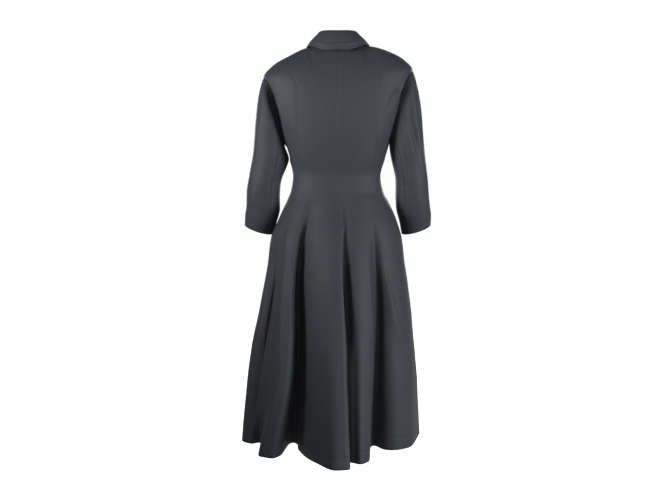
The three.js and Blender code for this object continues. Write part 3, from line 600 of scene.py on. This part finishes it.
def addNode(tree, kind, place, values=None, **settings):
    node = tree.nodes.new(kind)
    node.location = place
    for name, value in settings.items():
        setattr(node, name, value)
    for name, value in (values or {}).items():
        node.inputs[name].default_value = value
    return node


def addMath(tree, place, operation, *parts):
    # one step of arithmetic on numbers and on other nodes' outputs
    node = addNode(tree, "ShaderNodeMath", place, operation=operation)
    for k, part in enumerate(parts):
        if isinstance(part, (int, float)):
            node.inputs[k].default_value = part
        else:
            tree.links.new(part, node.inputs[k])
    return node.outputs[0]


def addRange(tree, place, value, before, after, **settings):
    # brings a value from one range to another
    values = {"From Min": before[0], "From Max": before[1], "To Min": after[0], "To Max": after[1]}
    node = addNode(tree, "ShaderNodeMapRange", place, values, **settings)
    tree.links.new(value, node.inputs["Value"])
    return node.outputs[0]


def threadNoise(tree, source, look, row):
    # noise that is drawn out along the threads
    place = addNode(tree, "ShaderNodeMapping", (-1200, row), {"Scale": look["scale"]})
    tree.links.new(source, place.inputs["Vector"])
    values = {"Scale": 1, "Detail": look["detail"], "Roughness": look["roughness"]}
    noise = addNode(tree, "ShaderNodeTexNoise", (-1000, row), values, noise_dimensions="2D")
    tree.links.new(place.outputs[0], noise.inputs["Vector"])
    return noise.outputs["Fac"]


def failleGroup(look):
    # fine crosswise rib with uneven threads
    tree = bpy.data.node_groups.new("failleWeave", "ShaderNodeTree")
    given = {"Place": "Vector", "Cloth": "Color", "Warm": "Color"}
    given |= {"Rib Spacing": "Float", "Rib Depth": "Float", "Roughness": "Float"}
    for name, kind in given.items():
        tree.interface.new_socket(name, in_out="INPUT", socket_type="NodeSocket" + kind)
    for name, kind in {"Color": "Color", "Roughness": "Float", "Height": "Float"}.items():
        tree.interface.new_socket(name, in_out="OUTPUT", socket_type="NodeSocket" + kind)
    link = tree.links.new
    start = addNode(tree, "NodeGroupInput", (-1400, 0))
    end = addNode(tree, "NodeGroupOutput", (900, 0))
    slub = threadNoise(tree, start.outputs["Place"], look["slub"], -100)
    broad = threadNoise(tree, start.outputs["Place"], look["broad"], -400)

    # patches of a warmer charcoal
    patch = addNode(tree, "ShaderNodeTexNoise", (-1000, -700), look["patch"])
    link(start.outputs["Place"], patch.inputs["Vector"])
    patched = patch.outputs["Fac"]
    patchShare = addRange(tree, (-800, -700), patched, look["patchRange"], look["patchShare"])
    dyed = addNode(tree, "ShaderNodeMix", (-500, -400), data_type="RGBA")
    link(patchShare, dyed.inputs["Factor"])
    link(start.outputs["Cloth"], dyed.inputs[6])
    link(start.outputs["Warm"], dyed.inputs[7])

    # ribs that wander with the threads
    split = addNode(tree, "ShaderNodeSeparateXYZ", (-1200, 200))
    link(start.outputs["Place"], split.inputs[0])
    wander = addMath(tree, (-800, 100), "MULTIPLY", slub, look["ribWander"])
    along = addMath(tree, (-600, 200), "ADD", split.outputs["Y"], wander)
    turns = addMath(tree, (-400, 200), "DIVIDE", along, start.outputs["Rib Spacing"])
    angle = addMath(tree, (-200, 200), "MULTIPLY", turns, 2 * math.pi)
    wave = addMath(tree, (0, 200), "SINE", angle)
    rib = addRange(tree, (150, 200), wave, (-1, 1), (0, 1))
    ribbed = addMath(tree, (350, 200), "MULTIPLY", rib, start.outputs["Rib Depth"])
    height = addMath(tree, (550, 200), "ADD", ribbed, slub)
    link(height, end.inputs["Height"])

    # lightness of the uneven threads, and painted shade on the ribs: darker in their grooves, lighter on
    # their crests as a painted highlight
    slubLight = addRange(tree, (-500, -150), slub, look["noiseRange"], look["slub"]["light"])
    broadLight = addRange(tree, (-500, -650), broad, look["noiseRange"], look["broad"]["light"])
    ribPaintedShade = addRange(tree, (350, 0), rib, (0, 1), look["ribPaintedShade"])
    threads = addMath(tree, (-200, -300), "MULTIPLY", slubLight, broadLight)
    tone = addMath(tree, (500, -200), "MULTIPLY", threads, ribPaintedShade)
    shaded = addNode(tree, "ShaderNodeVectorMath", (700, -300), operation="SCALE")
    link(dyed.outputs[2], shaded.inputs[0])
    link(tone, shaded.inputs["Scale"])
    link(shaded.outputs[0], end.inputs["Color"])

    roughness = start.outputs["Roughness"]
    worn = addMath(tree, (500, -500), "MULTIPLY_ADD", slub, look["slubRoughness"], roughness)
    link(worn, end.inputs["Roughness"])
    return tree


def stitchRow(tree, distance, at, width):
    # height of a row of stitches at one distance from an edge
    apart = addMath(tree, (-700, -300), "SUBTRACT", distance, at)
    near = addMath(tree, (-550, -300), "ABSOLUTE", apart)
    place = (-400, -300)
    return addRange(tree, place, near, (0, width), (-1, 0), interpolation_type="SMOOTHSTEP")


def clothMaterial(name, look, group, hasEdges):
    material = bpy.data.materials.new(name)
    material.use_nodes = True
    tree = material.node_tree
    link = tree.links.new
    shader = tree.nodes["Principled BSDF"]
    shader.inputs["Sheen Weight"].default_value = look["sheen"]
    shader.inputs["Sheen Roughness"].default_value = 0.45
    shader.inputs["Specular IOR Level"].default_value = 0.2
    weave = addNode(tree, "ShaderNodeGroup", (-500, 200), node_tree=group)
    weave.inputs["Cloth"].default_value = look["charcoal"]
    weave.inputs["Warm"].default_value = look["warm"]
    weave.inputs["Rib Spacing"].default_value = look["ribSpacing"]
    weave.inputs["Rib Depth"].default_value = look["ribDepth"]
    # the slubs add half of their roughness on the whole
    roughness = look["roughness"] - weaveLook["slubRoughness"] / 2
    weave.inputs["Roughness"].default_value = roughness
    place = addNode(tree, "ShaderNodeUVMap", (-900, 200), uv_map="clothUv")
    link(place.outputs["UV"], weave.inputs["Place"])
    link(weave.outputs["Color"], shader.inputs["Base Color"])
    link(weave.outputs["Roughness"], shader.inputs["Roughness"])
    weaveBump = addNode(tree, "ShaderNodeBump", (-200, -100), weaveLook["bump"])
    link(weave.outputs["Height"], weaveBump.inputs["Height"])
    link(weaveBump.outputs["Normal"], shader.inputs["Normal"])
    if hasEdges:
        fromHem = addNode(tree, "ShaderNodeAttribute", (-900, -300), attribute_name="fromHem")
        distance = fromHem.outputs["Fac"]
        row = stitchRow(tree, distance, hemStitches["fromHem"], hemStitches["width"])
        stitchBump = addNode(tree, "ShaderNodeBump", (-200, -350), hemStitches["bump"])
        link(row, stitchBump.inputs["Height"])
        link(stitchBump.outputs["Normal"], weaveBump.inputs["Normal"])
    return material


weaveGroup = failleGroup(weaveLook)
faille = clothMaterial("failleCloth", clothLook, weaveGroup, True)
buttonFaille = clothMaterial("buttonFaille", buttonLook, weaveGroup, False)
print("cloths made")


# columns of the panels, height of their rows in millimetres, columns and rows of the other pieces
clothStep = {
    "back": 124,
    "front": 74,
    "rowStep": 6.5,
    "armholeRows": 48,
    "sleeveColumns": 84,
    "sleeveRows": 96,
    "collarColumns": 150,
    "collarRows": 60,
    "standRows": 12,
}
# levels of a side panel's rows at the princess seam, evenly round the armhole from its top
upperLevels = np.array([78, 88, 100, 114, 132, 155, 183, 215, 250, 285], float)


def frontPerDegree(level):
    # millimetres that one degree is at the centre front
    return np.linalg.norm(bodyPoint(180.5, level) - bodyPoint(179.5, level), axis=-1)


def bodyPieceGrid(face, part, side):
    # turn and level of every place of a panel, with columns by rising turn
    share = np.linspace(0, 1, clothStep[face] + 1)
    if part == "centre":
        stops = [dress["neckLevel"], dress["princessTop"], dress["hemLevel"]]
        level = levelsBetween(stops, clothStep["rowStep"])
        seam = princessAt(np.maximum(level, dress["princessTop"]))[0 if face == "back" else 1]
        inner = (np.zeros(level.shape), level)
        outer = (np.where(level <= dress["princessTop"], 90, seam), level)
    else:
        steps = np.linspace(0, len(upperLevels) - 1, clothStep["armholeRows"])
        level = np.interp(steps, np.arange(len(upperLevels)), upperLevels)
        turn, armLevel = armholePlace(180 / (len(upperLevels) - 1) * steps, 1)
        below = levelsBetween([dress["underarm"], dress["hemLevel"]], clothStep["rowStep"])[1:]
        turn = np.concatenate([turn, np.full(below.shape, 90.0)])
        outer = (turn, np.concatenate([armLevel, below]))
        level = np.concatenate([level, below])
        inner = (princessAt(level)[0 if face == "back" else 1], level)
    if face == "front" and part == "centre":
        inner = (-dress["frontLap"] / frontPerDegree(level), level)
    turn = inner[0][:, None] * (1 - share) + outer[0][:, None] * share
    level = inner[1][:, None] * (1 - share) + outer[1][:, None] * share
    if face == "front":
        turn = 180 - turn
    turn = turn * side
    if turn[-1, 0] > turn[-1, -1]:
        turn, level = turn[:, ::-1], level[:, ::-1]
    return turn, level


# distance from a button at which the creases begin, and at which they are whole
buttonCalm = (14, 34)


def bodyPiece(face, part, word):
    side = 1 if word == "left" else -1
    turn, level = bodyPieceGrid(face, part, side)
    points, out = bodyPoint(turn, level), bodyNormal(turn, level)
    calm = np.ones(turn.shape)
    outwards = side if face == "back" else -side
    edges = {"first", "last"} if part == "side" else {"last" if outwards > 0 else "first"}
    if part == "centre" and face == "back":
        edges = {"first", "last"}
    edges.add("top")
    if part == "side":
        fromArm, aroundArm = nearArmhole(points, side)
        calm = smoothStep(fromArm, 0, armholeReach["calm"])
    elif face == "front":
        # the cloth lies smooth under the buttons
        for place in bodyPoint(np.full(len(buttonLevels), 180.0), buttonLevels):
            calm = calm * smoothStep(np.linalg.norm(points - place, axis=-1), *buttonCalm)
    height = creaseHeight(turn, level, bodyCreases, bodyPoint) * calm
    height += unevenness(points) * calm
    points = points + out * height[..., None]
    if part == "side":
        points, out = sinkArmhole(points, out, fromArm, aroundArm, side, armholeReach["body"])
    if face == "front" and part == "centre" and side > 0:
        # the left front's lap lies behind the right one
        past = (turn - 180) * frontPerDegree(level) + dress["frontLap"] + dress["lapEase"]
        points = points - out * (dress["lapDrop"] * smoothStep(past, 0, dress["lapEase"]))[..., None]
    points, fromSeam, fromHem = rollEdges(points, out, edges)
    clothSheet(f"{face}_{part}_{word}", points, fromSeam, fromHem, levelThreads=True)


# cut of each pair of panels, laid flat: its widest and longest, and its area, in metres
panelCuts = {
    ("back", "centre"): {"flat": (0.30, 1.24), "area": 0.195},
    ("back", "side"): {"flat": (0.42, 1.24), "area": 0.252},
    ("front", "side"): {"flat": (0.26, 1.24), "area": 0.178},
    ("front", "centre"): {"flat": (0.275, 1.21), "area": 0.214},
}
for (face, part), cut in panelCuts.items():
    for word in ("left", "right"):
        bodyPiece(face, part, word)
print("panels sewn")


def sleevePiece(half, word, cut):
    side = 1 if word == "left" else -1
    columns = clothStep["sleeveColumns"] if half == "upper" else clothStep["sleeveColumns"] // 2
    first, last = cut["span"]
    aroundArm = np.linspace(first, last, columns + 1)
    if side > 0:
        aroundArm = aroundArm[::-1]
    aroundArm, along = np.meshgrid(aroundArm, np.linspace(0, 2, clothStep["sleeveRows"] + 1))
    points, out = sleevePoint(aroundArm, along, side), sleeveNormal(aroundArm, along, side)
    calm = smoothStep(along, 0, armholeReach["sleeveCalm"])
    creases = leftSleeveCreases if side > 0 else rightSleeveCreases
    pointAt = lambda first, second: sleevePoint(first, second, side)
    height = creaseHeight(aroundArm, along, creases, pointAt, dress["sleeveStep"])
    height += unevenness(points)
    points = points + out * (height * calm)[..., None]
    fromArm, nearest = nearArmhole(points, side)
    points, out = sinkArmhole(points, out, fromArm, nearest, side, armholeReach["sleeve"])
    points, fromSeam, fromHem = rollEdges(points, out, {"first", "last", "top"})
    # no row of stitches shows at a cuff
    clothSheet(f"sleeve_{half}_{word}", points, fromSeam, fromHem + farAway)


# cut of each pair of sleeve halves, and the degrees round the arm that a half covers
sleeveCuts = {
    "upper": {"flat": (0.375, 0.46), "area": 0.0965, "span": (-120, 120)},
    "under": {"flat": (0.13, 0.29), "area": 0.0336, "span": (120, 240)},
}
for half, cut in sleeveCuts.items():
    for word in ("left", "right"):
        sleevePiece(half, word, cut)
print("sleeves set in")

# the collar: sizes in millimetres, turns in degrees and the cut of its two pieces
collarSizes = {
    "rollHalfWidth": 4,
    "rollDepth": 7,
    "standTuck": 3,
    "standIn": 3.5,
    "standLap": 2.5,
    "lapShare": 1.3,
    "lapFrom": 138,
    "lapTo": 156,
    "fallBow": 3,
    "bowRise": 0.4,
    "edgeClear": 2,
    "stitchFromEdge": 17,
    "stitchWidth": 1.9,
    "stitchSink": 2.6,
    "stitchFade": 0.85,
    "fadeFrom": 40,
    "fadeTo": 70,
    "standCut": {"flat": (0.475, 0.06), "area": 0.0164},
    "fallCut": {"flat": (0.615, 0.07), "area": 0.034},
}


def polar(turn, reach, z):
    angle = np.radians(turn)
    shift = bodyRings[0][7]
    return np.stack([reach * np.sin(angle) + shift, reach * np.cos(angle), z + 0 * angle], -1)


def collarLines(turn):
    # knots of the stand and of the fall at each turn, from the join inside the roll
    side = np.where(turn < 0, -1, 1)
    rollReach, rollZ, edgeTurn, edgeLevel, clear = collarAt(np.abs(turn))
    join, joinZ = rollReach - collarSizes["rollHalfWidth"], rollZ - collarSizes["rollDepth"]
    standTop = polar(turn, join + 1, joinZ + collarSizes["standLap"])
    shoulder = polar(turn, rollReach + collarSizes["rollHalfWidth"], rollZ - collarSizes["rollHalfWidth"])
    edge = bodyPoint(side * edgeTurn, edgeLevel)
    clear = collarSizes["edgeClear"] + clear
    edge = edge + bodyNormal(side * edgeTurn, edgeLevel) * clear[:, None]
    angle = np.radians(turn)
    rise = np.full(turn.shape, collarSizes["bowRise"])
    bow = np.stack([np.sin(angle), np.cos(angle), rise], -1) * collarSizes["fallBow"]
    fall = [
        polar(turn, join - 1, joinZ),
        polar(turn, join, rollZ - collarSizes["rollHalfWidth"] / 2),
        polar(turn, rollReach, rollZ),
        shoulder,
    ]
    fall += [shoulder + (edge - shoulder) * t + bow * math.sin(math.pi * t) for t in (1 / 3, 2 / 3, 1)]
    # the stand's lower edge is tucked in behind the panels' neck edge
    neck = bodyPoint(turn, dress["neckLevel"])
    tuck = np.array([0, 0, -collarSizes["standTuck"]])
    # and further in at the throat, behind the lap of the fronts
    behindLap = smoothStep(np.abs(turn), collarSizes["lapFrom"], collarSizes["lapTo"])
    inward = collarSizes["standIn"] + dress["lapDrop"] * collarSizes["lapShare"] * behindLap
    out = bodyNormal(turn, np.full(turn.shape, float(dress["neckLevel"])))
    seam = neck - out * inward[:, None] + tuck
    stand = [standTop + (seam - standTop) * t for t in (0, 1 / 3, 2 / 3, 1)]
    return np.array(stand), np.array(fall)


def alongKnots(knots, t):
    # smooth curve through the knots of a line, at places t
    i = np.minimum(t.astype(int), len(knots) - 2)
    padded = np.concatenate([2 * knots[:1] - knots[1:2], knots, 2 * knots[-1:] - knots[-2:-1]])
    slope = (padded[2:] - padded[:-2]) / 2
    return hermite(knots[i], knots[i + 1], slope[i], slope[i + 1], (t - i)[:, None, None])


def collarPiece(part):
    end = collarPlaces[-1][0]
    turn = np.linspace(end, -end, clothStep["collarColumns"] + 1)
    stand, fall = collarLines(turn)
    knots = stand if part == "stand" else fall
    rows = clothStep["standRows"] if part == "stand" else clothStep["collarRows"]
    points = alongKnots(knots, np.linspace(0, len(knots) - 1, rows + 1))
    out = unit(np.cross(np.gradient(points, axis=1), np.gradient(points, axis=0)))
    down = np.linalg.norm(np.diff(points, axis=0), axis=-1)
    fromTop = np.concatenate([np.zeros((1, points.shape[1])), np.cumsum(down, axis=0)], axis=0)
    fromEdge = fromTop[-1:] - fromTop
    if part == "fall":
        # the row of stitches round the edge, fainter towards the front
        apart = fromEdge - collarSizes["stitchFromEdge"]
        stitched = np.exp(-((apart / collarSizes["stitchWidth"]) ** 2))
        faded = smoothStep(np.abs(turn), collarSizes["fadeFrom"], collarSizes["fadeTo"])
        stitched = stitched * (1 - collarSizes["stitchFade"] * faded)
        points = points - out * (collarSizes["stitchSink"] * stitched)[..., None]
    far = np.full(fromEdge.shape, farAway)
    clothSheet("collar_" + part, points, far, far)


for part in ("stand", "fall"):
    collarPiece(part)
print("collar turned down")

# covered buttons: sizes in millimetres, then shares of the radius and rim that shape foot and dome
buttonSizes = {
    "radius": 11,
    "height": 5,
    "rim": 1.2,
    "lift": 0.8,
    "segments": 48,
    "footShare": 0.86,
    "bevelShare": 0.97,
    "rimShare": 1.3,
    "domePower": 0.9,
    "domeSteps": 8,
}


def coveredButton(number, level):
    node = f"button_{number}"
    low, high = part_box(node)
    centre = (Vector(low) + Vector(high)) / 2
    out = Vector([float(n) for n in bodyNormal(np.array([180.0]), np.array([float(level)]))[0]])
    names = ("radius", "height", "rim", "lift")
    radius, height, rim, lift = (buttonSizes[name] / 1000 for name in names)
    foot, bevel = radius * buttonSizes["footShare"], radius * buttonSizes["bevelShare"]
    rimTop = rim * buttonSizes["rimShare"]
    bm = bmesh.new()
    profile = [(0, 0), (foot, 0), (bevel, rim * 0.5), (radius, rimTop)]
    for k in range(buttonSizes["domeSteps"]):
        angle = (k + 1) / buttonSizes["domeSteps"] * math.pi / 2
        reach = radius * math.cos(angle) ** buttonSizes["domePower"]
        profile.append((reach, rimTop + (height - rimTop) * math.sin(angle)))
    chain = [bm.verts.new((max(x, 0.0), 0, z)) for x, z in profile]
    edges = [bm.edges.new(pair) for pair in zip(chain, chain[1:])]
    bmesh.ops.spin(
        bm,
        geom=chain + edges,
        cent=(0, 0, 0),
        axis=(0, 0, 1),
        angle=2 * math.pi,
        steps=buttonSizes["segments"],
        use_merge=True,
    )
    bmesh.ops.remove_doubles(bm, verts=bm.verts, dist=1e-6)
    bmesh.ops.recalc_face_normals(bm, faces=bm.faces)
    mesh = bpy.data.meshes.new("covered_" + node)
    bm.to_mesh(mesh)
    bm.free()
    places = np.empty(len(mesh.vertices) * 3, np.float32)
    mesh.vertices.foreach_get("co", places)
    places = places.reshape(-1, 3)
    corner = np.empty(len(mesh.loops), np.int32)
    mesh.loops.foreach_get("vertex_index", corner)
    layer = mesh.uv_layers.new(name="clothUv")
    layer.data.foreach_set("uv", places[corner][:, :2].astype(np.float32).ravel())
    turned = out.to_track_quat("Z", "Y").to_matrix().to_4x4()
    turned.translation = centre + out * (lift - height / 2)
    mesh.transform(turned)
    mesh.shade_smooth()
    mesh.materials.append(buttonFaille)
    piece = bpy.data.objects.new("covered_" + node, mesh)
    scene.collection.objects.link(piece)
    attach(piece, "root")
    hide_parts(node)


for number, level in enumerate(buttonLevels, 1):
    coveredButton(number, level)
print("buttons sewn on")

# floor and sky
studio = {
    "floorLevel": -1.55,
    "floorSize": 30,
    "floorColor": (0.35, 0.35, 0.35, 1),
    "floorGlow": 0.97,
    "skyStrength": 0.1,
    "skySeen": 1.0,
    "white": (1, 1, 1, 1),
    "black": (0, 0, 0, 1),
}
# lamps: name, place, aim, size, spread in degrees, power
studioLamps = [
    ("keyLamp", (-3.05, 2.0, -0.05), (0, 0, -0.6), 1.5, 180, 160),
    ("fillLamp", (2.8, 1.6, 0.25), (0.2, 0, -0.06), 1.0, 42, 10.5),
    ("cameraLamp", (0.1, 4.0, 0.2), (0, 0, -0.5), 1.4, 180, 27),
    ("frontKeyLamp", (-1.3, -3.5, 0.3), (0, 0, -0.6), 1.4, 180, 125),
    ("frontFillLamp", (1.3, -3.5, -0.2), (0, 0, -0.6), 1.4, 180, 60),
]


def addFloor():
    bm = bmesh.new()
    bmesh.ops.create_grid(bm, x_segments=1, y_segments=1, size=studio["floorSize"] / 2)
    mesh = bpy.data.meshes.new("paleFloor")
    bm.to_mesh(mesh)
    bm.free()
    mesh.transform(Matrix.Translation((0, 0, studio["floorLevel"])))
    material = bpy.data.materials.new("paleFloor")
    material.use_nodes = True
    shader = material.node_tree.nodes["Principled BSDF"]
    shader.inputs["Base Color"].default_value = studio["floorColor"]
    shader.inputs["Roughness"].default_value = 0.9
    shader.inputs["Specular IOR Level"].default_value = 0.1
    shader.inputs["Emission Strength"].default_value = studio["floorGlow"]
    # the floor's glow shows, but doesn't light the cloth
    tree = material.node_tree
    path = addNode(tree, "ShaderNodeLightPath", (-600, 0))
    colors = {6: studio["black"], 7: studio["white"]}
    glow = addNode(tree, "ShaderNodeMix", (-300, 0), colors, data_type="RGBA")
    tree.links.new(path.outputs["Is Camera Ray"], glow.inputs["Factor"])
    tree.links.new(glow.outputs[2], shader.inputs["Emission Color"])
    mesh.materials.append(material)
    floor = bpy.data.objects.new("paleFloor", mesh)
    scene.collection.objects.link(floor)


def addLight():
    world = bpy.data.worlds.new("paleStudio")
    scene.world = world
    world.use_nodes = True
    tree = world.node_tree
    tree.nodes.clear()
    end = addNode(tree, "ShaderNodeOutputWorld", (400, 0))
    mixed = addNode(tree, "ShaderNodeMixShader", (200, 0))
    path = addNode(tree, "ShaderNodeLightPath", (0, 200))
    lit = {"Color": studio["white"], "Strength": studio["skyStrength"]}
    light = addNode(tree, "ShaderNodeBackground", (0, 0), lit)
    shown = {"Color": studio["white"], "Strength": studio["skySeen"]}
    seen = addNode(tree, "ShaderNodeBackground", (0, -200), shown)
    tree.links.new(path.outputs["Is Camera Ray"], mixed.inputs[0])
    tree.links.new(light.outputs[0], mixed.inputs[1])
    tree.links.new(seen.outputs[0], mixed.inputs[2])
    tree.links.new(mixed.outputs[0], end.inputs["Surface"])
    for name, place, aim, size, spread, power in studioLamps:
        data = bpy.data.lights.new(name, "AREA")
        data.shape = "DISK"
        data.size = size
        data.energy = power
        data.spread = math.radians(spread)
        lamp = bpy.data.objects.new(name, data)
        lamp.location = place
        lamp.rotation_euler = (Vector(aim) - lamp.location).to_track_quat("-Z", "Y").to_euler()
        scene.collection.objects.link(lamp)


addFloor()
addLight()
scene.view_settings.view_transform = "Standard"
print("studio lit")
